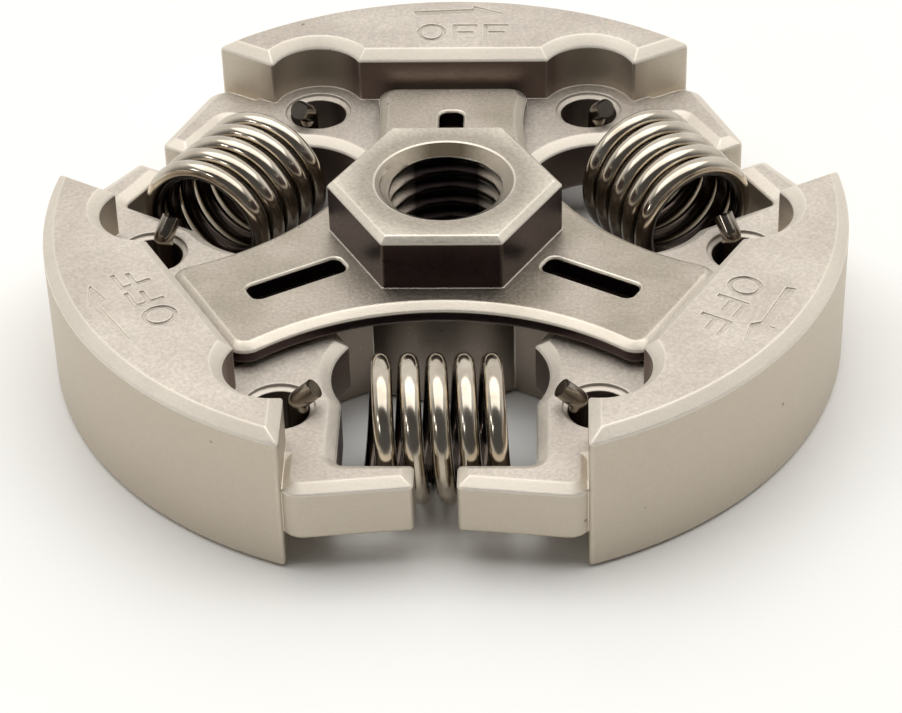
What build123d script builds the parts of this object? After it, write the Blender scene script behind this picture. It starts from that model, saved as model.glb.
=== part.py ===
from build123d import *
from math import cos, pi, radians, sin, sqrt, tan
import os

# Centrifugal clutch of a chainsaw: a one-piece hub with a hexagonal nose, three
# sliding shoes and three coil springs that hook one shoe to the next.
# Millimetres. +Z is the clutch axis, towards the hexagon, and Z = 0 is the plane
# that the shoes rest on. Shoes point along 90, 210 and 330 degrees about Z, and
# the spring bays between them along 270, 30 and 150 degrees.
# In a bay, "side" is measured across from the bay's middle plane and "reach"
# outwards from the clutch axis. In a shoe, the arm runs along +Y.

# Driving dimensions of the whole clutch
drum_radius = 37.5              # friction face of the shoes, springs at rest
shoe_height = 14.6
shoe_count = 3
ground_clearance = 0.25         # lowest point of a coil above the resting plane

# Shoe rim, the heavy outer sector
rim_thickness = 11.2            # friction face to the flat inner wall
rim_end_side = 13.14            # rim end face from the bay's middle plane
rim_bevel_across = 1.1
rim_bevel_down = 0.9
rim_foot_bevel = 0.4
notch_margin = 1.85             # the round notch beyond the spring hole, radially

# Shoe web, the thinner plate inside the rim, with two legs and two lips
web_bottom = 3.65
web_thickness = 5.55
web_bevel_across = 1.1
web_bevel_down = 0.65
web_foot_bevel = 0.3
web_overlap = 1.7               # inside the rim, the web ends this far beyond the lips
leg_gap = 2.5                   # hub boss to the ends of the legs
leg_width = 2.655               # at the end of a leg, channel wall to relief
lip_end_side = 1.87             # half the gap between two facing lips
lip_thickness = 3.05            # at the end of the lip
lip_slope_deg = 6.5             # outer wall of the lip, falling towards its end
lip_rise = 0.6                  # that wall, carried on to the rim's end face, beyond it
lip_corner_radius = 2.0
lip_corner_inset = 0.4          # the rounded corner runs this far into the rim
pocket_side_gap = 1.68          # each end of the coil to the pocket wall
pocket_corner_radius = 0.7
relief_radius = 7.4             # round relief from the pocket to the end of the leg
relief_side = 2.4
relief_blend_radius = 2.5

# Spring
wire_radius = 0.925
wire_sides = 8                  # flats that stand for the round wire, with its area
coil_radius = 5.825             # to the middle of the wire
coil_pitch = 2.45
front_strands = 5
lip_clearance = 0.35            # coil to the inner wall of the lips
tail_start_deg = 12.0           # each end of the coil, measured from its lowest point
tail_lead = 1.7                 # straight wire before the tail bends sideways
tail_height = 1.25              # middle of the wire under the web
tail_bend_radius = 1.4
hook_bend_radius = 1.9
hook_side_clearance = 0.15      # hook wire to the side of its hole
hook_rise = 0.6                 # hook bends this far above the web
hook_tip_side = 1.6             # tip leans towards the coil
hook_tip_rise = 1.4

# Hole in the web for the spring's hook
hole_wall = 5.5                 # pocket wall to the middle of the hole
hole_clearance = 1.875          # hole beyond the wire, radially
hole_back = 0.4                 # hole inwards of the coil axis
hole_bevel = 0.55

# Hub
boss_radius = 12.0
guide_half_width = 5.45
guide_clearance = 0.15          # guide to each wall of the shoe's channel
guide_seat_clearance = 0.1      # end of the guide to the rim, springs at rest
guide_corner = 0.5
plate_running_gap = 0.55        # web to the plate above it
plate_thickness = 1.8
plate_end_gap = 0.9             # plate to the rim, springs at rest
plate_throat_margin = 0.36      # plate beyond the boss in the middle of a bay
plate_edge_radius = 26.0        # hollow edges between the arms
plate_corner_radius = 2.0
plate_bevel_across = 1.0
plate_bevel_down = 0.6
slot_width = 2.4
slot_inner_reach = 10.8
slot_outer_reach = 20.4
slot_corner_radius = 0.8
hex_across_flats = 19.0
hex_height = 5.5
hex_bevel = 0.6
thread_bore_radius = 5.15       # inner radius of the crankshaft thread
bore_mouth_radius = 6.5

# Places that follow from the sizes above
half_angle = 180.0 / shoe_count
bay_turn = 360.0 / shoe_count
web_top = web_bottom + web_thickness
plate_bottom = web_top + plate_running_gap
plate_top = plate_bottom + plate_thickness
hex_top = plate_top + hex_height
rim_inner_reach = drum_radius - rim_thickness
channel_half_width = guide_half_width + guide_clearance
leg_reach = boss_radius + leg_gap

lip_fall = tan(radians(lip_slope_deg))
lip_corner_side = rim_end_side + lip_corner_inset
rim_end_reach = sqrt(drum_radius**2 - rim_end_side**2)


def lip_outer_reach(side):
    return rim_end_reach + lip_rise - lip_fall * (rim_end_side - side)


def to_bay(across, along):
    """Side and reach, in the bay beside it, of a place given in a shoe."""
    half = radians(half_angle)
    return along * sin(half) - across * cos(half), along * cos(half) + across * sin(half)


pocket_reach = lip_outer_reach(lip_end_side) - lip_thickness
coil_reach = pocket_reach - lip_clearance - coil_radius - wire_radius
coil_height = coil_radius + wire_radius + ground_clearance
coil_turns = front_strands - 2 * tail_start_deg / 360.0
coil_length = coil_pitch * coil_turns
pocket_half_width = coil_length / 2 + wire_radius + pocket_side_gap
leg_end_side, leg_end_reach = to_bay(channel_half_width + leg_width, leg_reach)
relief_reach = leg_end_reach + sqrt(relief_radius**2 - (leg_end_side - relief_side) ** 2)
hole_radius = wire_radius + hole_clearance
hole_side = pocket_half_width + hole_wall
hole_reach = coil_reach - hole_back
notch_radius = hole_radius + notch_margin
hook_side = hole_side - hole_radius + wire_radius + hook_side_clearance
notch_arm_side = hole_reach * sin(radians(half_angle)) - hole_side * cos(radians(half_angle))

lip_end_along = lip_corner_side * sin(radians(half_angle))
lip_end_along += lip_outer_reach(lip_corner_side) * cos(radians(half_angle))
web_inner_end = lip_end_along + web_overlap                 # hidden inside the rim
far = 2 * drum_radius                                       # beyond every outline


def in_both_bays(shape):
    """A sketch drawn in a bay, laid in the bays on both sides of a shoe."""
    left = Rot(0, 0, half_angle) * shape
    return left + mirror(left, about=Plane.YZ)


def bevel_top(solid, across, down):
    """Bevel the whole edge of the upper face."""
    top = solid.faces().sort_by(Axis.Z)[-1]
    return chamfer(top.edges(), length=across, length2=down, reference=top)


def bevel_foot(solid, size):
    """Bevel the whole edge of the lower face."""
    return chamfer(solid.faces().sort_by(Axis.Z)[0].edges(), length=size)


def prism(sketch, bottom, top):
    return extrude(Pos(0, 0, bottom) * sketch, top - bottom)


# Shoe

def pocket_sketch():
    """The room for the coil, open towards the hub, with a relief at each side."""
    chest = Pos(0, (relief_reach + pocket_reach) / 2) * Rectangle(
        2 * pocket_half_width, pocket_reach - relief_reach
    )
    outer_corners = chest.vertices().sort_by(Axis.Y)[-2:]
    chest = fillet(outer_corners, pocket_corner_radius)
    reliefs = Sketch() + [
        Pos(hand * relief_side, relief_reach) * Circle(relief_radius) for hand in (-1, 1)
    ]
    pocket = chest + reliefs
    meeting = relief_reach + sqrt(relief_radius**2 - (pocket_half_width - relief_side) ** 2)
    blends = [v for v in pocket.vertices() if abs(v.Y - meeting) < 0.01]
    return fillet(blends, relief_blend_radius)


def web_sketch():
    """Two legs astride the guide, the floor of the notches and the two lips."""
    bay_side = make_face(
        Polyline(
            (lip_end_side, -far),
            (lip_end_side, lip_outer_reach(lip_end_side)),
            (lip_corner_side, lip_outer_reach(lip_corner_side)),
            (lip_corner_side, pocket_reach),
            (far, pocket_reach),
            (far, -far),
            close=True,
        )
    )
    corner = bay_side.vertices().sort_by(Axis.Y)[-1]
    bay_side = Rot(0, 0, half_angle) * fillet(corner, lip_corner_radius)
    band = Pos(0, (leg_reach + web_inner_end) / 2) * Rectangle(far, web_inner_end - leg_reach)
    channel = Pos(0, rim_inner_reach / 2) * Rectangle(2 * channel_half_width, rim_inner_reach)
    outline = (bay_side & mirror(bay_side, about=Plane.YZ)) & band
    return outline - in_both_bays(pocket_sketch()) - channel


def rim_sketch():
    """A sector of the drum's circle with a flat inner wall and two round notches."""
    beyond_end_face = Pos(rim_end_side + far / 2, 0) * Rectangle(far, 2 * far)
    left = Rot(0, 0, half_angle) * beyond_end_face
    sector = Circle(drum_radius) & left & mirror(left, about=Plane.YZ)
    middle = Pos(0, rim_inner_reach / 2) * Rectangle(2 * notch_arm_side, rim_inner_reach)
    notch = Pos(hole_side, hole_reach) * Circle(notch_radius)
    return sector - middle - in_both_bays(notch)


def hole_cutter():
    """The hook's hole with a bevelled mouth, on one side of the shoe."""
    hole = Pos(0, 0, web_bottom - 1) * Cylinder(
        hole_radius, web_thickness + 2, align=(Align.CENTER, Align.CENTER, Align.MIN)
    )
    mouth = Pos(0, 0, web_top - hole_bevel) * Cone(
        hole_radius, hole_radius + 2 * hole_bevel, 2 * hole_bevel,
        align=(Align.CENTER, Align.CENTER, Align.MIN),
    )
    return Rot(0, 0, half_angle) * Pos(hole_side, hole_reach) * (hole + mouth)


def shoe():
    rim = bevel_top(prism(rim_sketch(), 0, shoe_height), rim_bevel_across, rim_bevel_down)
    rim = bevel_foot(rim, rim_foot_bevel)
    web = bevel_top(prism(web_sketch(), web_bottom, web_top), web_bevel_across, web_bevel_down)
    web = bevel_foot(web, web_foot_bevel)
    cutter = hole_cutter()
    return (rim + web) - cutter - mirror(cutter, about=Plane.YZ)


# Hub

def plate_sketch():
    """Three arms with hollow edges: a triangle bitten by a circle in each bay."""
    arm_end = rim_inner_reach - plate_end_gap
    outline = Rot(0, 0, 90 - half_angle) * RegularPolygon(arm_end, shoe_count, major_radius=False)
    bite_centre = boss_radius + plate_throat_margin + plate_edge_radius
    for bay in range(shoe_count):
        outline -= Rot(0, 0, bay * bay_turn) * Pos(0, -bite_centre) * Circle(plate_edge_radius)
    return fillet(outline.vertices(), plate_corner_radius)


def guide():
    """The bar under one arm that a shoe slides along."""
    reach = rim_inner_reach - guide_seat_clearance
    bar = Pos(0, reach / 2) * Rectangle(2 * guide_half_width, reach)
    ends = bar.vertices().sort_by(Axis.Y)[-2:]
    return prism(chamfer(ends, guide_corner), 0, plate_bottom)


def slot_cutter():
    length = slot_outer_reach - slot_inner_reach
    middle = (slot_outer_reach + slot_inner_reach) / 2
    outline = Pos(0, middle) * RectangleRounded(slot_width, length, slot_corner_radius)
    return prism(outline, -1, plate_top + 1)


def bore_cutter():
    """Threaded bore, at the thread's inner radius, with a bevelled mouth."""
    mouth_depth = bore_mouth_radius - thread_bore_radius
    profile = make_face(
        Polyline(
            (0, -1),
            (thread_bore_radius, -1),
            (thread_bore_radius, hex_top - mouth_depth),
            (bore_mouth_radius + 1, hex_top + 1),
            (0, hex_top + 1),
            close=True,
        )
    )
    return revolve(Plane.XZ * profile, axis=Axis.Z)


def hub():
    plate = bevel_top(
        prism(plate_sketch(), plate_bottom, plate_top), plate_bevel_across, plate_bevel_down
    )
    nose = RegularPolygon(hex_across_flats / 2, 6, major_radius=False)
    nose = bevel_top(prism(nose, plate_top - plate_thickness / 2, hex_top), hex_bevel, hex_bevel)
    body = prism(Circle(boss_radius), 0, plate_bottom) + plate + nose
    for arm in range(shoe_count):
        body += Rot(0, 0, arm * bay_turn) * guide()
    for arm in range(shoe_count):
        body -= Rot(0, 0, arm * bay_turn) * slot_cutter()
    return body - bore_cutter()


# Spring, drawn in the bay that points along -Y

def tail(start, heading, hand):
    """Wire from one end of the coil, under the web and up through the hook's hole."""
    corner = start + heading * tail_lead
    under = Vector(hand * hook_side, -hole_reach, tail_height)
    bend = Vector(hand * hook_side, -hole_reach, web_top + hook_rise)
    tip = Vector(hand * (hook_side - hook_tip_side), -hole_reach, web_top + hook_rise + hook_tip_rise)
    return FilletPolyline(
        start, corner, under, bend, tip,
        radius=[tail_bend_radius, hook_bend_radius, wire_radius],
    )


def spring():
    coil = Pos(-coil_length / 2, -coil_reach, coil_height) * Rot(0, 90, 0) * Rot(
        0, 0, tail_start_deg
    ) * Helix(coil_pitch, coil_length, coil_radius)
    left = tail(coil @ 0, (coil % 0) * -1, -1)
    right = tail(coil @ 1, coil % 1, 1)
    path = Wire(left.edges() + coil.edges() + right.edges())
    turn = 2 * pi / wire_sides
    corner_radius = wire_radius * sqrt(turn / sin(turn))
    section = Plane(origin=path @ 0, z_dir=path % 0) * RegularPolygon(corner_radius, wire_sides)
    return sweep(section, path=path)


os.makedirs("parts", exist_ok=True)

one_shoe = shoe()
one_spring = spring()
parts = {
    "hub": hub(),
    "shoe_back": one_shoe,
    "shoe_left": Rot(0, 0, bay_turn) * one_shoe,
    "shoe_right": Rot(0, 0, -bay_turn) * one_shoe,
    "spring_front": one_spring,
    "spring_right": Rot(0, 0, bay_turn) * one_spring,
    "spring_left": Rot(0, 0, -bay_turn) * one_spring,
}

for name, solid in parts.items():
    export_step(solid, f"parts/{name}.step")
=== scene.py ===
import math
import bmesh
import bpy
from mathutils import Matrix, Vector


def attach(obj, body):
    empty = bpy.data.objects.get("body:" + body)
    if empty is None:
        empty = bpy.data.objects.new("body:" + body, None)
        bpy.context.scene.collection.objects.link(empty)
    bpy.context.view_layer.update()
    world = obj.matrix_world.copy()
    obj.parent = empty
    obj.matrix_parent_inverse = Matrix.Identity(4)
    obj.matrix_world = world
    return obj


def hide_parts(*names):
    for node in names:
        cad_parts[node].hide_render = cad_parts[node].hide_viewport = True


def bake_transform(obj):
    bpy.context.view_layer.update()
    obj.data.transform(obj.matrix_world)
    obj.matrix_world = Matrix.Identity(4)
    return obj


# Centrifugal clutch of a chainsaw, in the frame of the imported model: the clutch axis
# is +Z and the shoes rest on Z = 0. Sizes are in millimetres and become metres where
# a mesh is made. A bay is the room between two shoes, an arm is the middle of a shoe.

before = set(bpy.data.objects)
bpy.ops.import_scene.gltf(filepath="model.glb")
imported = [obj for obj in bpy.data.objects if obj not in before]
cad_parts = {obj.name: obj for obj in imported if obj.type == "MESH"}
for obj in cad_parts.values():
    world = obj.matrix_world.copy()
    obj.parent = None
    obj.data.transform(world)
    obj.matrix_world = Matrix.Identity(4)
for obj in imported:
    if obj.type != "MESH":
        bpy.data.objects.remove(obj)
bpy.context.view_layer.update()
mm = 0.001
# Shared by the pieces: distances that weld vertices, how far parts and punches overlap,
# how far a cutter starts below a piece, how little a flared one goes above and beside
# its edge, and the steps of a rounding.
meshSizes = dict(merge=0.002, finalMerge=0.003, overlap=0.5, below=1.0, above=0.02, beside=0.002, softSteps=3)
print("frame loaded")


# Outlines: a list of stops, anticlockwise. Each stop is a corner with its plan radius
# and the edge that leaves it, straight or round a centre (bulge -1 is a hollow).

def stop(x, y, radius=0.0, around=None, bulge=1, samples=24, steps=5):
    return dict(at=Vector((x, y)), radius=radius, around=around, bulge=bulge, samples=samples, steps=steps)


def closeOutline(stops):
    for here, after in zip(stops, stops[1:] + stops[:1]):
        here["to"] = after["at"]
        if here["around"]:
            here["around"] = Vector(here["around"])
            here["reach"] = (here["at"] - here["around"]).length
    return stops


def beyondEdge(edge, point):  # distance outside an edge, and the way out
    if edge["around"]:
        arm = point - edge["around"]
        return edge["bulge"] * (arm.length - edge["reach"]), edge["bulge"] * arm.normalized()
    along = (edge["to"] - edge["at"]).normalized()
    out = Vector((along.y, -along.x))
    return (point - edge["at"]).dot(out), out


def cornerPoint(before, here, inset, straight=0.9999, tries=6):
    place = here["at"]
    outA, outB = beyondEdge(before, place)[1], beyondEdge(here, place)[1]
    if outA.dot(outB) > straight:
        return place - outA * inset, outA, outB
    place = place - (outA + outB) * inset / (1 + outA.dot(outB))
    for again in range(tries):
        farA, outA = beyondEdge(before, place)
        farB, outB = beyondEdge(here, place)
        a, b = -inset - farA, -inset - farB
        spread = outA.x * outB.y - outA.y * outB.x
        place = place + Vector((a * outB.y - b * outA.y, outA.x * b - outB.x * a)) / spread
    return place, outA, outB


def roundedCorner(before, here, inset, leastTurn=0.01, leastRadius=0.03):
    place, outA, outB = cornerPoint(before, here, inset)
    turn = math.atan2(outA.x * outB.y - outA.y * outB.x, outA.dot(outB))
    if not here["radius"] or abs(turn) < leastTurn:
        return [place]
    size = max(here["radius"] - inset, leastRadius) if turn > 0 else -(here["radius"] + inset)
    centre = place - (outA + outB) / (1 + outA.dot(outB)) * size
    turns = [turn * i / here["steps"] for i in range(here["steps"] + 1)]
    return [centre + Matrix.Rotation(t, 2) @ outA * size for t in turns]


def insetRing(stops, inset):
    corners = [roundedCorner(before, here, inset) for before, here in zip(stops[-1:] + stops[:-1], stops)]
    ring = []
    for here, corner, after in zip(stops, corners, corners[1:] + corners[:1]):
        ring += corner
        if not here["around"]:
            continue
        first, last = corner[-1] - here["around"], after[0] - here["around"]
        start = math.atan2(first.y, first.x)
        sweep = (math.atan2(last.y, last.x) - start) % (2 * math.pi)
        if here["bulge"] < 0:
            sweep -= 2 * math.pi
        for i in range(1, here["samples"]):
            a = start + sweep * i / here["samples"]
            ring.append(here["around"] + Vector((math.cos(a), math.sin(a))) * first.length)
    return ring


def softSection(points, soft, mostOfRun=0.45):  # rounds the inner corners of (inset, height)
    section = [Vector(points[0])]
    steps = meshSizes["softSteps"]
    for before, here, after in zip(points, points[1:], points[2:]):
        before, here, after = Vector(before), Vector(here), Vector(after)
        a = here + (before - here).normalized() * min(soft, (before - here).length * mostOfRun)
        b = here + (after - here).normalized() * min(soft, (after - here).length * mostOfRun)
        for i in range(steps + 1):
            t = i / steps
            section.append(a * (1 - t) ** 2 + here * 2 * t * (1 - t) + b * t * t)
    return section + [Vector(points[-1])]


def makeObject(name, work):
    bmesh.ops.remove_doubles(work, verts=work.verts, dist=meshSizes["merge"] * mm)
    mesh = bpy.data.meshes.new(name)
    work.to_mesh(mesh)
    work.free()
    made = bpy.data.objects.new(name, mesh)
    bpy.context.scene.collection.objects.link(made)
    return made


def stackRings(name, rings):  # closed solid from rings of (x, y, z) in millimetres
    work = bmesh.new()
    rows = [[work.verts.new(Vector(p) * mm) for p in ring] for ring in rings]
    for low, high in zip(rows, rows[1:]):
        for i in range(len(low)):
            j = (i + 1) % len(low)
            work.faces.new((low[i], low[j], high[j], high[i]))
    work.faces.new(rows[0][::-1])
    work.faces.new(rows[-1])
    return makeObject(name, work)


def prism(name, stops, section):
    rings = []
    for inset, height in section:
        rings.append([(p.x, p.y, height) for p in insetRing(stops, inset)])
    return stackRings(name, rings)


def bevelledSection(bottom, top, across, down, foot, soft, lowerRun=0.1, upperRun=0.12):
    points = [(foot + lowerRun, bottom), (foot, bottom), (0, bottom + foot), (0, top - down), (across, top)]
    return softSection(points + [(across + upperRun, top)], soft)


def turned(name, profile, around=48, centre=(0, 0)):  # profile of (radius, height), upwards
    rings = []
    for radius, height in profile:
        angles = [2 * math.pi * i / around for i in range(around)]
        rings.append([(centre[0] + radius * math.cos(a), centre[1] + radius * math.sin(a), height) for a in angles])
    return stackRings(name, rings)


def turnPiece(piece, degrees):
    piece.data.transform(Matrix.Rotation(math.radians(degrees), 4, "Z"))
    return piece


def combine(base, tools, operation):
    for tool in tools:
        cut = base.modifiers.new("combine", "BOOLEAN")
        cut.operation = operation
        cut.solver = "EXACT"
        cut.object = tool
    done = bpy.data.meshes.new_from_object(base.evaluated_get(bpy.context.evaluated_depsgraph_get()))
    base.modifiers.clear()
    base.data = done
    for tool in tools:
        bpy.data.objects.remove(tool)
    return base


def finishPiece(piece, body, material, nodeName, sharpFrom=24):
    work = bmesh.new()
    work.from_mesh(piece.data)
    bmesh.ops.remove_doubles(work, verts=work.verts, dist=meshSizes["finalMerge"] * mm)
    bmesh.ops.dissolve_degenerate(work, edges=work.edges, dist=meshSizes["merge"] * mm)
    work.to_mesh(piece.data)
    work.free()
    piece.data.materials.clear()
    piece.data.materials.append(material)
    piece.data.shade_smooth()
    piece.data.set_sharp_from_angle(angle=math.radians(sharpFrom))
    even = piece.modifiers.new("evenNormals", "WEIGHTED_NORMAL")
    even.keep_sharp = True
    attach(piece, body)
    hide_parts(nodeName)
    return piece


# Materials

def linear(hexColour):
    values = [int(hexColour[i:i + 2], 16) / 255 for i in (1, 3, 5)]
    return tuple(v / 12.92 if v <= 0.04045 else ((v + 0.055) / 1.055) ** 2.4 for v in values) + (1.0,)


def addNode(tree, kind, values=None, links=(), **settings):
    node = tree.nodes.new(kind)
    for name, value in settings.items():
        setattr(node, name, value)
    for name, value in (values or {}).items():
        node.inputs[name].default_value = value
    for source, output, target in links:
        tree.links.new(source.outputs[output], node.inputs[target])
    return node


def startMaterial(name):
    material = bpy.data.materials.new(name)
    material.use_nodes = True
    material.node_tree.nodes.clear()
    return material, material.node_tree


# Sintered steel: iron powder pressed in a die, sintered and lightly oiled. It gives the
# eye a warm grey, satin face with a fine open grain, cloudy patches of oil and a few dark
# pores. Its bevels and edges are painted paler, partly as the tumbling barrel's polish and
# partly as painted highlight. The real grain, of about 0.1 mm, is too fine to show here,
# so it is drawn about three times coarser.
def sinteredSteel(name, look):
    material, tree = startMaterial(name)
    place = addNode(tree, "ShaderNodeTexCoord")
    shape = addNode(tree, "ShaderNodeNewGeometry")
    grain = addNode(tree, "ShaderNodeTexNoise", {"Scale": 1000 / look["grain"], "Detail": 3.0, "Roughness": 0.6},
                    [(place, "Object", "Vector")])
    cloud = addNode(tree, "ShaderNodeTexNoise", {"Scale": 1000 / look["cloud"], "Detail": 2.0},
                    [(place, "Object", "Vector")])
    pore = addNode(tree, "ShaderNodeTexVoronoi", {"Scale": 1000 / look["pore"]}, [(place, "Object", "Vector")])
    poreMask = addNode(tree, "ShaderNodeMapRange", {"From Min": look["poreFloor"], "From Max": look["poreRim"],
                                                    "To Min": 1.0, "To Max": 0.0}, [(pore, "Distance", "Value")])
    cloudy = addNode(tree, "ShaderNodeMapRange", {"From Min": look["cloudLow"], "From Max": look["cloudHigh"]},
                     [(cloud, "Fac", "Value")])
    face = addNode(tree, "ShaderNodeMix", {"A": linear(look["shade"]), "B": linear(look["face"])},
                   [(cloudy, "Result", "Factor")], data_type="RGBA")
    speckle = addNode(tree, "ShaderNodeMapRange", {"From Min": look["grainLow"], "From Max": look["grainHigh"],
                                                   "To Min": look["darkGrain"], "To Max": look["paleGrain"]},
                      [(grain, "Fac", "Value")])
    spot = addNode(tree, "ShaderNodeSeparateXYZ", links=[(place, "Object", "Vector")])
    flat = addNode(tree, "ShaderNodeVectorMath", {1: (1, 1, 0)}, [(place, "Object", 0)], operation="MULTIPLY")
    fromAxis = addNode(tree, "ShaderNodeVectorMath", links=[(flat, "Vector", 0)], operation="LENGTH")
    if look["noseFrom"]:  # the top of the nose is rubbed paler by the socket, most at its corners
        rubbed = addNode(tree, "ShaderNodeMath", {1: look["rubbedFrom"] * mm}, [(spot, "Z", 0)],
                         operation="GREATER_THAN")
        corner = addNode(tree, "ShaderNodeMapRange",
                         {"From Min": look["cornerFrom"] * mm, "From Max": look["cornerTo"] * mm},
                         [(fromAxis, "Value", "Value")])
        paler = addNode(tree, "ShaderNodeMix", {"A": linear(look["rubbed"]), "B": linear(look["corner"])},
                        [(corner, "Result", "Factor")], data_type="RGBA")
        face = addNode(tree, "ShaderNodeMix", links=[(rubbed, "Value", "Factor"), (face, "Result", "A"),
                                                     (paler, "Result", "B")], data_type="RGBA")
    grainy = addNode(tree, "ShaderNodeVectorMath", links=[(face, "Result", 0), (speckle, "Result", 1)],
                     operation="MULTIPLY")
    # walls, bevels and level faces are told apart by how far their normal points up
    way = addNode(tree, "ShaderNodeSeparateXYZ", links=[(shape, "Normal", "Vector")])
    upright = addNode(tree, "ShaderNodeMapRange", {"From Min": look["wallTo"], "From Max": look["bevelFrom"],
                                                   "To Min": 1.0, "To Max": 0.0}, [(way, "Z", "Value")])
    # bevels are painted paler, partly as the tumbling polish and partly as painted highlight
    slope = addNode(tree, "ShaderNodeMapRange", {"From Min": look["bevelTo"], "From Max": look["levelFrom"],
                                                 "To Min": look["bevelPolishHighlight"], "To Max": 0.0}, [(way, "Z", "Value")])
    bevelPolishHighlight = addNode(tree, "ShaderNodeMix", {"B": linear(look["wearAndHighlight"])},
                      [(slope, "Result", "Factor"), (grainy, "Vector", "A")], data_type="RGBA")
    # walls near the axis get the dark inner-wall colour: painted shade where they face the hub or sit deep in the
    # pockets
    outer = addNode(tree, "ShaderNodeMapRange", {"From Min": look["innerTo"] * mm, "From Max": look["outerFrom"] * mm},
                    [(fromAxis, "Value", "Value")])
    wallWithShade = addNode(tree, "ShaderNodeMix", {"A": linear(look["shadedInnerWall"]), "B": linear(look["wall"])},
                         [(outer, "Result", "Factor")], data_type="RGBA")
    walls = addNode(tree, "ShaderNodeMix", links=[(upright, "Result", "Factor"), (bevelPolishHighlight, "Result", "A"),
                                                  (wallWithShade, "Result", "B")], data_type="RGBA")
    if look["noseFrom"]:  # painted shade: the walls of the nose and of the plate's edge are painted nearly black
        high = addNode(tree, "ShaderNodeMath", {1: look["noseFrom"] * mm}, [(spot, "Z", 0)],
                       operation="GREATER_THAN")
        nose = addNode(tree, "ShaderNodeMath", links=[(high, "Value", 0), (upright, "Result", 1)],
                       operation="MULTIPLY")
        walls = addNode(tree, "ShaderNodeMix", {"B": linear(look["noseWallShade"])},
                        [(nose, "Value", "Factor"), (walls, "Result", "A")], data_type="RGBA")
        # painted shade in the mouth of the bore: dark at the back, paler at the sides
        aside = addNode(tree, "ShaderNodeMath", links=[(spot, "X", 0)], operation="ABSOLUTE")
        mouthLitMask = addNode(tree, "ShaderNodeMapRange",
                             {"From Min": look["mouthShadeTo"] * mm, "From Max": look["mouthLitFrom"] * mm},
                             [(aside, "Value", "Value")])
        inMouth = addNode(tree, "ShaderNodeMath", {1: look["mouthTo"] * mm}, [(fromAxis, "Value", 0)],
                          operation="LESS_THAN")
        mouth = addNode(tree, "ShaderNodeMix", {"A": linear(look["mouthBackShade"]), "B": linear(look["mouthSideLit"])},
                        [(mouthLitMask, "Result", "Factor")], data_type="RGBA")
        walls = addNode(tree, "ShaderNodeMix", links=[(inMouth, "Value", "Factor"), (walls, "Result", "A"),
                                                      (mouth, "Result", "B")], data_type="RGBA")
    # painted highlight: the rounding between a bevel and its wall is painted in the pale wear colour, except in the
    # bore's mouth
    above = addNode(tree, "ShaderNodeMapRange", {"From Min": look["crestStart"], "From Max": look["crestFull"]},
                    [(way, "Z", "Value")])
    crestHighlight = addNode(tree, "ShaderNodeMapRange", {"From Min": look["crestFade"], "From Max": look["crestEnd"],
                                                 "To Min": look["crestHighlight"], "To Max": 0.0}, [(way, "Z", "Value")])
    beyond = addNode(tree, "ShaderNodeMath", {1: look["crestFrom"] * mm}, [(fromAxis, "Value", 0)],
                     operation="GREATER_THAN")
    highlightBand = addNode(tree, "ShaderNodeMath", links=[(above, "Result", 0), (beyond, "Value", 1)],
                        operation="MULTIPLY")
    roundingHighlight = addNode(tree, "ShaderNodeMath", links=[(highlightBand, "Value", 0), (crestHighlight, "Result", 1)],
                       operation="MULTIPLY")
    walls = addNode(tree, "ShaderNodeMix", {"B": linear(look["wearAndHighlight"])},
                    [(roundingHighlight, "Value", "Factor"), (walls, "Result", "A")], data_type="RGBA")
    # edges painted pale where the rounded normal leaves the real one: partly rubbed wear, partly painted highlight,
    # hollow edges included
    edge = addNode(tree, "ShaderNodeBevel", {"Radius": look["edge"] * mm}, samples=4)
    lean = addNode(tree, "ShaderNodeVectorMath", links=[(edge, "Normal", 0), (shape, "Normal", 1)],
                   operation="DOT_PRODUCT")
    wearAndHighlight = addNode(tree, "ShaderNodeMapRange", {"From Min": look["wornTo"], "From Max": look["wornFrom"],
                                                "To Min": look["edgeWearAndHighlight"], "To Max": 0.0}, [(lean, "Value", "Value")])
    edged = addNode(tree, "ShaderNodeMix", {"B": linear(look["wearAndHighlight"])},
                    [(wearAndHighlight, "Result", "Factor"), (walls, "Result", "A")], data_type="RGBA")
    if look["noseFrom"]:  # painted shade on the turns of the thread in the same way: dark at the back, paler at the sides
        boreLitMask = addNode(tree, "ShaderNodeMapRange",
                        {"From Min": look["boreShadeTo"] * mm, "From Max": look["boreLitFrom"] * mm},
                        [(aside, "Value", "Value")])
        near = addNode(tree, "ShaderNodeMath", {1: look["boreTo"] * mm}, [(fromAxis, "Value", 0)],
                       operation="LESS_THAN")
        below = addNode(tree, "ShaderNodeMath", {1: look["boreTop"] * mm}, [(spot, "Z", 0)], operation="LESS_THAN")
        bore = addNode(tree, "ShaderNodeMath", links=[(near, "Value", 0), (below, "Value", 1)], operation="MULTIPLY")
        withPaintedShade = addNode(tree, "ShaderNodeMix", {"A": linear(look["paintedShade"]), "B": linear(look["bore"])},
                        [(boreLitMask, "Result", "Factor")], data_type="RGBA")
        edged = addNode(tree, "ShaderNodeMix", links=[(bore, "Value", "Factor"), (edged, "Result", "A"),
                                                      (withPaintedShade, "Result", "B")], data_type="RGBA")
    pitted = addNode(tree, "ShaderNodeMix", {"B": linear(look["pit"])},
                     [(poreMask, "Result", "Factor"), (edged, "Result", "A")], data_type="RGBA")
    rough = addNode(tree, "ShaderNodeMapRange", {"From Min": look["grainLow"], "From Max": look["grainHigh"],
                                                 "To Min": look["rough"] - look["roughSpread"],
                                                 "To Max": look["rough"] + look["roughSpread"]},
                    [(grain, "Fac", "Value")])
    rubbedWalls = addNode(tree, "ShaderNodeMath", {1: -look["wallPolish"]},
                          [(upright, "Result", 0), (rough, "Result", 2)], operation="MULTIPLY_ADD")
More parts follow.
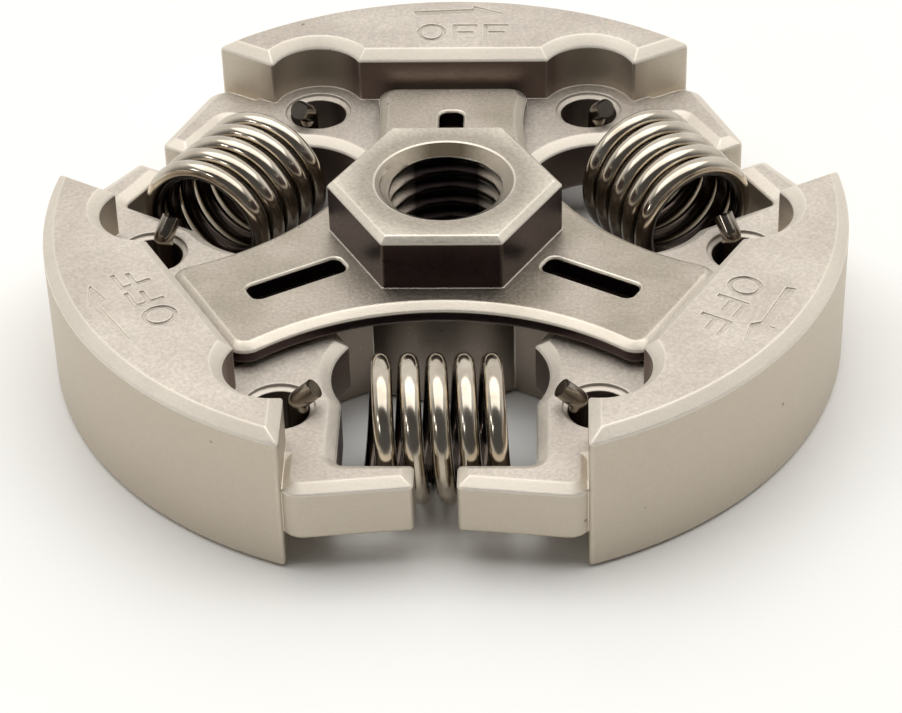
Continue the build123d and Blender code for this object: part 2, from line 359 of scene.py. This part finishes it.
    polished = addNode(tree, "ShaderNodeMath", {1: -look["edgePolish"]},
                       [(wearAndHighlight, "Result", 0), (rubbedWalls, "Value", 2)], operation="MULTIPLY_ADD")
    relief = addNode(tree, "ShaderNodeBump", {"Strength": look["relief"], "Distance": look["grainDepth"] * mm},
                     [(grain, "Fac", "Height"), (edge, "Normal", "Normal")])
    # the rounding is also made partly non-metallic, so it takes light like a matt surface and its painted highlight
    # shows from more sides
    mattRounding = addNode(tree, "ShaderNodeMath", {1: -look["roundingMatt"], 2: 1.0}, [(roundingHighlight, "Value", 0)],
                      operation="MULTIPLY_ADD")
    steel = addNode(tree, "ShaderNodeBsdfPrincipled",
                    links=[(pitted, "Result", "Base Color"), (mattRounding, "Value", "Metallic"),
                           (polished, "Value", "Roughness"), (relief, "Normal", "Normal")])
    addNode(tree, "ShaderNodeOutputMaterial", links=[(steel, "BSDF", "Surface")])
    return material


# Oil-tempered spring wire: drawn, so it is smooth and glossy, with a thin brown oxide.
# The inside of the coils, their low side towards the hub and the hooks are painted darker:
# painted shade. These places are found from the distance to the axis of the nearest coil.
def springWire(name, look, coilReach, coilHeight):
    material, tree = startMaterial(name)
    place = addNode(tree, "ShaderNodeTexCoord")
    reaches = []
    for degrees in (-90, 30, 150):
        out = (math.cos(math.radians(degrees)), math.sin(math.radians(degrees)), 0)
        reaches.append(addNode(tree, "ShaderNodeVectorMath", {1: out}, [(place, "Object", 0)], operation="DOT_PRODUCT"))
    nearer = addNode(tree, "ShaderNodeMath", links=[(reaches[0], "Value", 0), (reaches[1], "Value", 1)],
                     operation="MAXIMUM")
    reach = addNode(tree, "ShaderNodeMath", links=[(nearer, "Value", 0), (reaches[2], "Value", 1)],
                    operation="MAXIMUM")
    spot = addNode(tree, "ShaderNodeSeparateXYZ", links=[(place, "Object", "Vector")])
    section = addNode(tree, "ShaderNodeCombineXYZ", links=[(reach, "Value", "X"), (spot, "Z", "Y")])
    fromAxis = addNode(tree, "ShaderNodeVectorMath", {1: (coilReach * mm, coilHeight * mm, 0)},
                       [(section, "Vector", 0)], operation="DISTANCE")
    within = addNode(tree, "ShaderNodeMapRange", {"From Min": look["insideTo"] * mm,
                                                  "From Max": look["outsideFrom"] * mm, "To Min": 1.0, "To Max": 0.0},
                     [(fromAxis, "Value", "Value")])
    coil = addNode(tree, "ShaderNodeMath", {1: look["hooksTo"] * mm}, [(fromAxis, "Value", 0)],
                   operation="GREATER_THAN")
    inside = addNode(tree, "ShaderNodeMath", links=[(within, "Result", 0), (coil, "Value", 1)], operation="MULTIPLY")
    inwards = addNode(tree, "ShaderNodeMapRange", {"From Min": look["hubSideTo"] * mm,
                                                   "From Max": look["farSideFrom"] * mm, "To Min": 1.0, "To Max": 0.0},
                      [(reach, "Value", "Value")])
    low = addNode(tree, "ShaderNodeMapRange", {"From Min": look["lowTo"] * mm, "From Max": look["highFrom"] * mm,
                                               "To Min": 1.0, "To Max": 0.0}, [(spot, "Z", "Value")])
    hubSide = addNode(tree, "ShaderNodeMath", links=[(inwards, "Result", 0), (low, "Result", 1)], operation="MULTIPLY")
    onCoil = addNode(tree, "ShaderNodeMath", links=[(inside, "Value", 0), (hubSide, "Value", 1)],
                     operation="MAXIMUM")
    onHook = addNode(tree, "ShaderNodeMath", {1: -look["hookShade"], 2: look["hookShade"]}, [(coil, "Value", 0)],
                     operation="MULTIPLY_ADD")
    wireShadeMask = addNode(tree, "ShaderNodeMath", links=[(onCoil, "Value", 0), (onHook, "Value", 1)], operation="MAXIMUM")
    tint = addNode(tree, "ShaderNodeTexNoise", {"Scale": 1000 / look["patch"], "Detail": 3.0},
                   [(place, "Object", "Vector")])
    colour = addNode(tree, "ShaderNodeMix", {"A": linear(look["oxide"]), "B": linear(look["bright"])},
                     [(tint, "Fac", "Factor")], data_type="RGBA")
    withPaintedShade = addNode(tree, "ShaderNodeMix", {"B": linear(look["paintedShade"])},
                    [(wireShadeMask, "Value", "Factor"), (colour, "Result", "A")], data_type="RGBA")
    rough = addNode(tree, "ShaderNodeMapRange", {"To Min": look["rough"] - look["smoother"],
                                                 "To Max": look["rough"] + look["rougher"]}, [(tint, "Fac", "Value")])
    wire = addNode(tree, "ShaderNodeBsdfPrincipled", {"Metallic": 1.0},
                   [(withPaintedShade, "Result", "Base Color"), (rough, "Result", "Roughness")])
    addNode(tree, "ShaderNodeOutputMaterial", links=[(wire, "BSDF", "Surface")])
    return material


# What both steels share: limits of the noises, of the normals' upward part and of the
# wear and painted highlight. Below, the places are distances from the clutch axis and heights.
steelLook = dict(grain=0.32, grainLow=0.3, grainHigh=0.7, darkGrain=0.81, paleGrain=1.11, grainDepth=0.03, relief=0.5,
                 cloudLow=0.35, cloudHigh=0.65, poreFloor=0.02, poreRim=0.05, wallTo=0.25, bevelFrom=0.6, bevelTo=0.9,
                 levelFrom=0.97, crestHighlight=0.85, crestStart=0.08, crestFull=0.25, crestFade=0.5, crestEnd=0.68, roundingMatt=1.15,
                 edge=0.2, edgeWearAndHighlight=0.8, wornTo=0.965, wornFrom=0.998, roughSpread=0.06, wallPolish=0.1, edgePolish=0.14)
shoeLook = dict(steelLook, face="#D3CABE", shade="#C5BBAF", wall="#CBC1B2", shadedInnerWall="#7F7068", pit="#8A7F72",
                wearAndHighlight="#F6EEDF", innerTo=29.0, outerFrom=33.0, noseFrom=0, cloud=9.0, pore=5.0, rough=0.6, bevelPolishHighlight=0.48,
                crestFrom=0)
hubLook = dict(steelLook, face="#BFB4A6", shade="#A99F8F", wall="#A79C8D", shadedInnerWall="#A0958A", pit="#6A6055",
               wearAndHighlight="#EFE6D6", innerTo=12.0, outerFrom=24.0, cloud=7.0, pore=3.4, rough=0.43, bevelPolishHighlight=0.42,
               crestFrom=6.7, noseFrom=9.8, noseWallShade="#4D4040", rubbedFrom=15.65, rubbed="#AEA496", corner="#E2D8C8",
               cornerFrom=7.5, cornerTo=10.5, boreTo=6.35, boreTop=16.12, bore="#A59A8B", paintedShade="#2B2422",
               boreShadeTo=2.9, boreLitFrom=4.6, mouthTo=6.46, mouthBackShade="#473F33", mouthSideLit="#978D7E",
               mouthShadeTo=1.5, mouthLitFrom=5.6)
wireLook = dict(oxide="#918370", bright="#E6DDCD", paintedShade="#463D37", patch=3.0, rough=0.155, smoother=0.05, rougher=0.07,
                hookShade=0.55, hooksTo=4.75, insideTo=5.45, outsideFrom=6.0, hubSideTo=20.0, farSideFrom=24.5,
                lowTo=5.5, highFrom=9.5)
shoeSteel = sinteredSteel("sinteredShoeSteel", shoeLook)
hubSteel = sinteredSteel("sinteredHubSteel", hubLook)
print("steels made")


# Shoe, drawn with its arm along +Y
shoeSizes = dict(
    drum=37.5, height=14.6, thickness=11.2, endSide=13.14, bevelAcross=1.1, bevelDown=0.9, foot=0.4,
    soft=0.2, rimEndRadius=0.35, notchRadius=4.65, notchEdgeRadius=0.25, rimWallRadius=0.3,
    holeSide=14.15, holeReach=23.89, holeRadius=2.8, holeBevel=0.5, holeLedge=0.34, ledgeIn=0.06, ledgeDrop=0.16,
    webBottom=3.65, webTop=9.2, webAcross=1.1, webDown=0.65, webFoot=0.3, webEnd=31.0, webInRim=0.6,
    channel=5.6, legReach=14.5, legRadius=0.25,
    lipEndSide=1.87, lipCornerSide=13.54, lipCornerRadius=2.0, lipEndRadius=0.5, lipOuter=35.72, lipSlope=0.114,
    pocketHalf=8.65, pocketReach=31.39, pocketCorner=0.7,
    reliefRadius=7.4, reliefSide=2.4, reliefReach=18.69, reliefBlend=2.5,
)
# OFF and an arrow. Each point of the arrow has its share of the row's slimming.
letterSizes = dict(
    stroke=0.48, depth=0.2, foot=28.85, head=31.9, middle=30.1, middleBar=2.15, topBar=2.55, corner=0.08,
    floorInset=0.04, ovalHalf=1.5, ovalExtra=0.12, ovalSamples=40, letterO=-1.95, firstF=0.15, secondF=3.3,
    arrow=[(-3.65, 33.6, 1.0), (2.05, 34.02, 1.0), (2.75, 33.3, 0.5), (5.5, 34.0, 0.0), (2.2, 35.55, 0.0),
           (2.25, 34.93, 0.4), (-3.9, 34.55, 0.5)],
)


def bayPoint(side, reach):  # in the bay to the left of the arm
    half = math.radians(60)
    return (side * math.cos(half) - reach * math.sin(half), side * math.sin(half) + reach * math.cos(half))


def mirrored(stops):  # the other half of a symmetric outline, walked the same way round
    others = []
    for here, before in zip(stops[::-1], stops[::-1][1:] + [None]):
        copy = stop(-here["at"].x, here["at"].y, here["radius"])
        if before and before["around"]:
            centre = Vector(before["around"])
            copy.update(around=(-centre.x, centre.y), bulge=before["bulge"], samples=before["samples"])
        others.append(copy)
    return others


def rimOutline(s):
    wall = s["drum"] - s["thickness"]
    notchX, notchY = bayPoint(s["holeSide"], s["holeReach"])
    endReach = math.sqrt(s["drum"] ** 2 - s["endSide"] ** 2)
    notchEnd = s["holeReach"] + math.sqrt(s["notchRadius"] ** 2 - (s["holeSide"] - s["endSide"]) ** 2)
    wallX = notchX + math.sqrt(s["notchRadius"] ** 2 - (wall - notchY) ** 2)
    left = [
        stop(*bayPoint(s["endSide"], endReach), radius=s["rimEndRadius"]),
        stop(*bayPoint(s["endSide"], notchEnd), radius=s["notchEdgeRadius"], around=(notchX, notchY), bulge=-1,
             samples=28),
        stop(wallX, wall, radius=s["rimWallRadius"]),
    ]
    right = mirrored(left)
    right[-1].update(around=(0, 0), bulge=1, samples=96)
    return closeOutline(left + right)


def webOutline(s):
    def lipOuter(side):
        return s["lipOuter"] - s["lipSlope"] * (s["endSide"] - side)
    wall = s["drum"] - s["thickness"]
    blendSide = s["pocketHalf"] + s["reliefBlend"]
    spread = s["reliefRadius"] + s["reliefBlend"]
    blendReach = s["reliefReach"] + math.sqrt(spread ** 2 - (blendSide - s["reliefSide"]) ** 2)
    share = s["reliefRadius"] / spread
    relief = bayPoint(s["reliefSide"], s["reliefReach"])
    legX = relief[0] + math.sqrt(s["reliefRadius"] ** 2 - (s["legReach"] - relief[1]) ** 2)
    meetSide = s["reliefSide"] + (blendSide - s["reliefSide"]) * share
    meetReach = s["reliefReach"] + (blendReach - s["reliefReach"]) * share
    innerSide = (s["webEnd"] - s["pocketReach"] / 2) / math.sin(math.radians(60))
    left = [
        stop(*bayPoint(innerSide, s["pocketReach"])),
        stop(*bayPoint(s["lipCornerSide"], s["pocketReach"])),
        stop(*bayPoint(s["lipCornerSide"], lipOuter(s["lipCornerSide"])), radius=s["lipCornerRadius"]),
        stop(*bayPoint(s["lipEndSide"], lipOuter(s["lipEndSide"])), radius=s["lipEndRadius"]),
        stop(*bayPoint(s["lipEndSide"], s["pocketReach"]), radius=s["lipEndRadius"]),
        stop(*bayPoint(s["pocketHalf"], s["pocketReach"]), radius=s["pocketCorner"]),
        stop(*bayPoint(s["pocketHalf"], blendReach), around=bayPoint(blendSide, blendReach), samples=8),
        stop(*bayPoint(meetSide, meetReach), around=relief, bulge=-1, samples=24),
        stop(legX, s["legReach"], radius=s["legRadius"]),
        stop(-s["channel"], s["legReach"], radius=s["legRadius"]),
        stop(-s["channel"], wall + s["webInRim"]),
    ]
    return closeOutline(left + mirrored(left))


def letterF(name, x, s):
    low, high, stem, middle = s["foot"], s["head"], x + s["stroke"], s["middle"]
    middleBar, topBar = x + s["middleBar"], x + s["topBar"]
    points = [(x, low), (stem, low), (stem, middle), (middleBar, middle), (middleBar, middle + s["stroke"]),
              (stem, middle + s["stroke"]), (stem, high - s["stroke"]), (topBar, high - s["stroke"]),
              (topBar, high), (x, high)]
    return engraver(name, points, s)


def letterO(name, x, s):
    middle, tall, wide = (s["foot"] + s["head"]) / 2, (s["head"] - s["foot"]) / 2 + s["ovalExtra"], s["ovalHalf"]
    rings = []
    for i in range(s["ovalSamples"]):
        a = 2 * math.pi * i / s["ovalSamples"]
        out = Vector((math.cos(a) * wide, math.sin(a) * tall))
        inner = Vector((math.cos(a) * (wide - s["stroke"]), math.sin(a) * (tall - s["stroke"])))
        rings.append((out, inner))
    work = bmesh.new()
    top, floor = shoeSizes["height"] + meshSizes["overlap"], shoeSizes["height"] - s["depth"]
    rows = []
    for out, inner in rings:
        section = [(out, floor), (out, top), (inner, top), (inner, floor)]
        rows.append([work.verts.new(Vector((x + p.x, middle + p.y, z)) * mm) for p, z in section])
    for here, after in zip(rows, rows[1:] + rows[:1]):
        for i in range(4):
            j = (i + 1) % 4
            work.faces.new((here[i], after[i], after[j], here[j]))
    bmesh.ops.recalc_face_normals(work, faces=work.faces)
    return makeObject(name, work)


def engraver(name, points, s):
    stops = closeOutline([stop(x, y, radius=s["corner"], steps=3) for x, y in points])
    top = shoeSizes["height"]
    return prism(name, stops, [(s["floorInset"], top - s["depth"]), (0, top - s["depth"] + s["corner"]),
                               (0, top + meshSizes["overlap"])])


def engraving(shift, slim):  # the usual marks for unscrewing the clutch
    s = letterSizes
    arrow = [(x, y + slim * share) for x, y, share in s["arrow"]]
    tools = [letterO("markO", s["letterO"], s), letterF("markF", s["firstF"], s), letterF("markFF", s["secondF"], s),
             engraver("markArrow", arrow, s)]
    for tool in tools:
        tool.data.transform(Matrix.Translation((-shift * mm, 0, 0)))
    return tools


def makeShoe(name, body, nodeName, turn, shift, slim):
    s = shoeSizes
    rimSection = bevelledSection(0, s["height"], s["bevelAcross"], s["bevelDown"], s["foot"], s["soft"])
    webSection = bevelledSection(s["webBottom"], s["webTop"], s["webAcross"], s["webDown"], s["webFoot"], s["soft"])
    shoe = prism(name, rimOutline(s), rimSection)
    combine(shoe, [prism("web", webOutline(s), webSection)], "UNION")
    x, y = bayPoint(s["holeSide"], s["holeReach"])
    rim, ledge = s["holeRadius"] + s["holeBevel"], s["webTop"] - s["holeLedge"]
    profile = [(s["holeRadius"], s["webBottom"] - meshSizes["below"]), (s["holeRadius"], ledge - s["ledgeDrop"]),
               (rim - s["ledgeIn"], ledge), (rim, s["webTop"]),
               (rim + meshSizes["beside"], s["webTop"] + meshSizes["above"])]
    holes = [turned("hole", profile, centre=(hand * x, y)) for hand in (1, -1)]
    combine(shoe, holes + engraving(shift, slim), "DIFFERENCE")
    turnPiece(shoe, turn)
    return finishPiece(shoe, body, shoeSteel, nodeName)


# Piece, body, node, turn in degrees, shift of the marks and slimming of the arrow. The
# marks were punched by hand, so they sit a little differently on each shoe.
for shoeRow in (("backShoe", "back_shoe", "shoe_back", 0, 0.3, 0.0),
                ("leftShoe", "left_shoe", "shoe_left", 120, 0.9, 0.45),
                ("rightShoe", "right_shoe", "shoe_right", -120, 0.0, 0.0)):
    piece = makeShoe(*shoeRow)
    print(piece.name, "has", len(piece.data.polygons), "faces")


# Hub: boss, guides, three-armed plate, hexagonal nose, slots and crankshaft thread
hubSizes = dict(
    boss=12.0, bossBevel=0.4, guideHalf=5.45, guideInner=2.0, guideReach=26.2, guideCorner=0.5, guideBevel=0.3,
    guideBottom=0.02, guideInPlate=0.4, plateBottom=9.75, plateTop=11.55, plateFoot=0.15, plateSoft=0.18,
    plateAcross=1.0, plateDown=0.6, armEnd=25.4, armCorner=2.0, edgeRadius=26.0, edgeCentre=38.36,
    slotWidth=2.4, slotInner=10.8, slotOuter=20.4, slotCorner=0.8, slotBevel=0.2,
    acrossFlats=19.0, hexTop=17.05, hexBevel=0.6, hexCorner=0.35, hexFoot=0.05, hexSoft=0.16, hexInPlate=0.9,
)
threadSizes = dict(minor=5.15, major=6.0, pitch=1.75, flank=3.2, crestHalf=0.12, mouth=6.6, mouthSlope=1.7,
                   lowerMouth=0.4, overrun=0.8, turnSamples=72, pitchSamples=14)


def plateOutline(s):
    stops = []
    for arm in range(3):
        def turnedPoint(x, y):
            a = math.radians(120 * arm)
            return (x * math.cos(a) - y * math.sin(a), x * math.sin(a) + y * math.cos(a))
        leftCentre = (-s["edgeCentre"] * math.cos(math.radians(30)), s["edgeCentre"] / 2)
        x = -leftCentre[0] - math.sqrt(s["edgeRadius"] ** 2 - (s["armEnd"] - leftCentre[1]) ** 2)
        stops.append(stop(*turnedPoint(x, s["armEnd"]), radius=s["armCorner"], steps=10))
        stops.append(stop(*turnedPoint(-x, s["armEnd"]), radius=s["armCorner"], steps=10,
                          around=turnedPoint(*leftCentre), bulge=-1, samples=56))
    return closeOutline(stops)


def rectangle(halfWidth, low, high, radius):
    points = [(halfWidth, low), (halfWidth, high), (-halfWidth, high), (-halfWidth, low)]
    return closeOutline([stop(x, y, radius=radius) for x, y in points])


def threadCutter(s, top):  # left-hand thread, with a countersunk mouth at both ends
    def radiusAt(turnShare, z):
        phase = (z / s["pitch"] + turnShare) % 1.0
        depth = min(1.0, max(0.0, s["flank"] * (abs(phase - 0.5) - s["crestHalf"])))
        radius = s["minor"] + (s["major"] - s["minor"]) * depth
        return max(radius, s["mouth"] - (top - z) * s["mouthSlope"], s["mouth"] - s["lowerMouth"] - z)
    length = top + 2 * s["overrun"]
    rows = int(length / s["pitch"] * s["pitchSamples"])
    rings = []
    for row in range(rows + 1):
        z = -s["overrun"] + length * row / rows
        ring = []
        for i in range(s["turnSamples"]):
            share = i / s["turnSamples"]
            r = radiusAt(share, z)
            ring.append((r * math.cos(2 * math.pi * share), r * math.sin(2 * math.pi * share), z))
        rings.append(ring)
    return stackRings("threadCutter", rings)


def makeHub():
    s = hubSizes
    hub = turned("clutchHub", [(s["boss"] - s["bossBevel"], 0), (s["boss"], s["bossBevel"]),
                               (s["boss"], s["plateBottom"] + meshSizes["overlap"])], around=96)
    plate = prism("plate", plateOutline(s), bevelledSection(s["plateBottom"], s["plateTop"], s["plateAcross"],
                                                            s["plateDown"], s["plateFoot"], s["plateSoft"]))
    corners = [(s["acrossFlats"] / math.sqrt(3) * math.cos(math.radians(60 * i)),
                s["acrossFlats"] / math.sqrt(3) * math.sin(math.radians(60 * i))) for i in range(6)]
    hexagon = closeOutline([stop(x, y, radius=s["hexCorner"]) for x, y in corners])
    nose = prism("nose", hexagon, bevelledSection(s["plateTop"] - s["hexInPlate"], s["hexTop"], s["hexBevel"],
                                                  s["hexBevel"], s["hexFoot"], s["hexSoft"]))
    guide = rectangle(s["guideHalf"], s["guideInner"], s["guideReach"], s["guideCorner"])
    guideSection = [(s["guideBevel"], s["guideBottom"]), (0, s["guideBottom"] + s["guideBevel"]),
                    (0, s["plateBottom"] + s["guideInPlate"])]
    slot = rectangle(s["slotWidth"] / 2, s["slotInner"], s["slotOuter"], s["slotCorner"])
    slotSection = [(0, -meshSizes["below"]), (0, s["plateTop"] - s["slotBevel"]), (-s["slotBevel"], s["plateTop"]),
                   (-s["slotBevel"] - meshSizes["above"], s["plateTop"] + meshSizes["above"])]
    joined = [plate, nose] + [turnPiece(prism("guide", guide, guideSection), 120 * arm) for arm in range(3)]
    cutters = [turnPiece(prism("slot", slot, slotSection), 120 * arm) for arm in range(3)]
    combine(hub, joined, "UNION")
    combine(hub, cutters + [threadCutter(threadSizes, s["hexTop"])], "DIFFERENCE")
    return finishPiece(hub, "hub", hubSteel, "hub")


hubPiece = makeHub()
print("hub has", len(hubPiece.data.polygons), "faces")


# Springs: each is two halves that meet in the middle of the coil, so that each half
# can follow the shoe it is hooked to. The wire is swept by Geometry Nodes.
springSizes = dict(
    wire=0.925, sides=28, coilRadius=5.825, pitch=2.45, turns=74 / 15, startDegrees=12.0, coilReach=24.29,
    coilHeight=7.0, perTurn=60, smallTurn=0.001, squareEnd=0.01, lead=1.7, tailHeight=1.25, hookSide=12.425,
    hookRise=0.6, tipSide=1.6, tipRise=1.4, bends=(1.4, 1.9, 0.98), sharpFrom=50,
)
wireSteel = springWire("oilTemperedWire", wireLook, springSizes["coilReach"], springSizes["coilHeight"])


def roundedPath(points, radii, steps=10):
    path = [points[0]]
    for before, here, after, radius in zip(points, points[1:], points[2:], radii):
        back, ahead = (before - here).normalized(), (after - here).normalized()
        half = back.angle(ahead) / 2
        run = radius / math.tan(half)
        centre = here + (back + ahead).normalized() * radius / math.sin(half)
        first, last = here + back * run - centre, here + ahead * run - centre
        turn = first.angle(last)
        for i in range(steps + 1):
            share = i / steps
            spoke = first * math.sin((1 - share) * turn) + last * math.sin(share * turn)
            path.append(centre + spoke / math.sin(turn))
    return path + [points[-1]]


def coilPoint(s, turnsDone):
    angle = math.radians(s["startDegrees"]) + 2 * math.pi * turnsDone
    along = s["pitch"] * (turnsDone - s["turns"] / 2)
    return Vector((along, -s["coilReach"] + s["coilRadius"] * math.sin(angle),
                   s["coilHeight"] - s["coilRadius"] * math.cos(angle)))


def halfSpringPath(s, hand):  # from the middle of the coil to the tip of the hook
    end = s["turns"] if hand > 0 else 0.0
    count = int(s["perTurn"] * s["turns"] / 2)
    coil = [coilPoint(s, s["turns"] / 2 + (end - s["turns"] / 2) * i / count) for i in range(count + 1)]
    heading = (coilPoint(s, end + hand * s["smallTurn"]) - coil[-1]).normalized()
    corner = coil[-1] + heading * s["lead"]
    under = Vector((hand * s["hookSide"], -shoeSizes["holeReach"], s["tailHeight"]))
    bend = Vector((under.x, under.y, shoeSizes["webTop"] + s["hookRise"]))
    tip = Vector((hand * (s["hookSide"] - s["tipSide"]), under.y, bend.z + s["tipRise"]))
    tail = roundedPath([coil[-1], corner, under, bend, tip], s["bends"])
    onward = (coilPoint(s, s["turns"] / 2 + hand * s["smallTurn"]) - coil[0]).normalized()
    # the first step squares the end that meets the other half
    return [coil[0] - onward * s["squareEnd"]] + coil + tail[1:]


def wireTree():
    tree = bpy.data.node_groups.new("sweptWire", "GeometryNodeTree")
    tree.interface.new_socket("Path", in_out="INPUT", socket_type="NodeSocketGeometry")
    for name, kind in (("Wire Radius", "NodeSocketFloat"), ("Wire Sides", "NodeSocketInt"),
                       ("Bay Turn", "NodeSocketVector"), ("Finish", "NodeSocketMaterial")):
        tree.interface.new_socket(name, in_out="INPUT", socket_type=kind)
    tree.interface.new_socket("Wire", in_out="OUTPUT", socket_type="NodeSocketGeometry")
    start = addNode(tree, "NodeGroupInput")
    line = addNode(tree, "GeometryNodeMeshToCurve", links=[(start, "Path", "Mesh")])
    section = addNode(tree, "GeometryNodeCurvePrimitiveCircle",
                      links=[(start, "Wire Sides", "Resolution"), (start, "Wire Radius", "Radius")])
    swept = addNode(tree, "GeometryNodeCurveToMesh", {"Fill Caps": True},
                    [(line, "Curve", "Curve"), (section, "Curve", "Profile Curve")])
    turnedWire = addNode(tree, "GeometryNodeTransform", links=[(swept, "Mesh", "Geometry"),
                                                               (start, "Bay Turn", "Rotation")])
    real = addNode(tree, "GeometryNodeRealizeInstances", links=[(turnedWire, "Geometry", "Geometry")])
    finish = addNode(tree, "GeometryNodeSetMaterial", links=[(real, "Geometry", "Geometry"),
                                                             (start, "Finish", "Material")])
    addNode(tree, "NodeGroupOutput", links=[(finish, "Geometry", "Wire")])
    return tree


def setInputs(modifier, tree, values):
    for item in tree.interface.items_tree:
        if item.in_out == "INPUT" and item.name in values:
            modifier[item.identifier] = values[item.name]


sweptWire = wireTree()


def makeHalfSpring(name, hand, turn, body, nodeName):
    s = springSizes
    path = halfSpringPath(s, hand)
    mesh = bpy.data.meshes.new(name)
    mesh.from_pydata([p * mm for p in path], [(i, i + 1) for i in range(len(path) - 1)], [])
    half = bpy.data.objects.new(name, mesh)
    bpy.context.scene.collection.objects.link(half)
    sweep = half.modifiers.new("sweptWire", "NODES")
    sweep.node_group = sweptWire
    setInputs(sweep, sweptWire, {"Wire Radius": s["wire"] * mm, "Wire Sides": s["sides"],
                                 "Bay Turn": (0.0, 0.0, math.radians(turn)), "Finish": wireSteel})
    half.data = bpy.data.meshes.new_from_object(half.evaluated_get(bpy.context.evaluated_depsgraph_get()))
    half.modifiers.clear()
    work = bmesh.new()
    work.from_mesh(half.data)
    bmesh.ops.recalc_face_normals(work, faces=work.faces)
    work.to_mesh(half.data)
    work.free()
    half.data.shade_smooth()
    half.data.set_sharp_from_angle(angle=math.radians(s["sharpFrom"]))
    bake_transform(half)
    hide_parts(nodeName)
    return half


# piece, which end of the spring, turn in degrees, body and node
for row in (("frontSpringLeftHalf", -1, 0, "left_shoe", "spring_front"),
            ("frontSpringRightHalf", 1, 0, "right_shoe", "spring_front"),
            ("rightSpringFrontHalf", -1, 120, "right_shoe", "spring_right"),
            ("rightSpringBackHalf", 1, 120, "back_shoe", "spring_right"),
            ("leftSpringBackHalf", -1, -120, "back_shoe", "spring_left"),
            ("leftSpringFrontHalf", 1, -120, "left_shoe", "spring_left")):
    piece = makeHalfSpring(*row)
    print(piece.name, "has", len(piece.data.polygons), "faces")


# Floor, world, light and camera
stageSizes = dict(floor=3.0, floorColour="#F6F4EF", floorRough=0.35, skyFront=0.1, skyBack=1.0, skyFrom=-0.45,
                  skyTo=0.5)
# a softbox above, and two small lamps on the left that glint on every coil
lampRows = [dict(name="softbox", width=0.9, depth=0.43, place=(0.0, 0.035, 0.46), radiance=1.71),
            dict(name="leftLamp", width=0.06, depth=0.05, place=(-0.5, -0.225, 0.277), radiance=12.0),
            dict(name="frontLamp", width=0.06, depth=0.05, place=(-0.4, -0.378, 0.271), radiance=12.0)]


def makeFloor(s):
    work = bmesh.new()
    bmesh.ops.create_grid(work, x_segments=1, y_segments=1, size=s["floor"] / 2)
    floor = makeObject("floor", work)
    material, tree = startMaterial("whiteTable")
    table = addNode(tree, "ShaderNodeBsdfPrincipled", {"Base Color": linear(s["floorColour"]),
                                                       "Roughness": s["floorRough"]})
    addNode(tree, "ShaderNodeOutputMaterial", links=[(table, "BSDF", "Surface")])
    floor.data.materials.append(material)


def makeWorld(s):
    world = bpy.data.worlds.new("studio")
    bpy.context.scene.world = world
    world.use_nodes = True
    tree = world.node_tree
    tree.nodes.clear()
    # a white studio, dark on the side of -Y
    way = addNode(tree, "ShaderNodeTexCoord")
    apart = addNode(tree, "ShaderNodeSeparateXYZ", links=[(way, "Generated", "Vector")])
    walls = addNode(tree, "ShaderNodeMapRange", {"From Min": s["skyFrom"], "From Max": s["skyTo"],
                                                 "To Min": s["skyFront"], "To Max": s["skyBack"]},
                    [(apart, "Y", "Value")], interpolation_type="SMOOTHSTEP")
    sky = addNode(tree, "ShaderNodeBackground", {"Color": (1, 1, 1, 1)}, [(walls, "Result", "Strength")])
    addNode(tree, "ShaderNodeOutputWorld", links=[(sky, "Background", "Surface")])


def makeLamp(row):
    light = bpy.data.lights.new(row["name"], "AREA")
    light.shape = "RECTANGLE"
    light.size, light.size_y = row["width"], row["depth"]
    light.energy = row["radiance"] * math.pi * row["width"] * row["depth"]
    lamp = bpy.data.objects.new(row["name"], light)
    bpy.context.scene.collection.objects.link(lamp)
    lamp.location = row["place"]
    lamp.rotation_euler = (-Vector(row["place"])).to_track_quat("-Z", "Y").to_euler()


# Camera, from the photograph's viewing angle: distances in millimetres, angles in
# degrees, and the focal length in pixels of the photograph
cameraSizes = dict(azimuth=2.6755, elevation=35.7859, distance=286.7753, roll=-1.7431, panX=0.0734, panY=-1.5165,
                   aim=(0, 0, 6), focal=3017.6179, imageWidth=902, sensor=36)


def makeCamera(s):
    a, e, r = (math.radians(s[k]) for k in ("azimuth", "elevation", "roll"))
    x, y = math.radians(s["panX"]), math.radians(s["panY"])
    back = Vector((math.sin(a) * math.cos(e), -math.cos(a) * math.cos(e), math.sin(e)))
    right = Vector((math.cos(a), math.sin(a), 0))
    up = back.cross(right)
    tiltedRight = right * math.cos(r) + up * math.sin(r)
    tiltedUp = up * math.cos(r) - right * math.sin(r)
    side = tiltedRight * math.cos(x) + back * math.sin(x)
    level = back * math.cos(x) - tiltedRight * math.sin(x)
    top = tiltedUp * math.cos(y) + level * math.sin(y)
    behind = level * math.cos(y) - tiltedUp * math.sin(y)
    place = (Vector(s["aim"]) + back * s["distance"]) * mm
    camera = bpy.data.objects.new("camera", bpy.data.cameras.new("camera"))
    bpy.context.scene.collection.objects.link(camera)
    camera.data.sensor_width = s["sensor"]
    camera.data.lens = s["focal"] * s["sensor"] / s["imageWidth"]
    camera.data.clip_start, camera.data.clip_end = 0.01, 10
    turn = Matrix((side, top, behind)).transposed().to_4x4()
    camera.matrix_world = Matrix.Translation(place) @ turn
    bpy.context.scene.camera = camera


makeFloor(stageSizes)
makeWorld(stageSizes)
for lampRow in lampRows:
    makeLamp(lampRow)
makeCamera(cameraSizes)
bpy.context.scene.view_settings.view_transform = "Standard"
print("stage made")
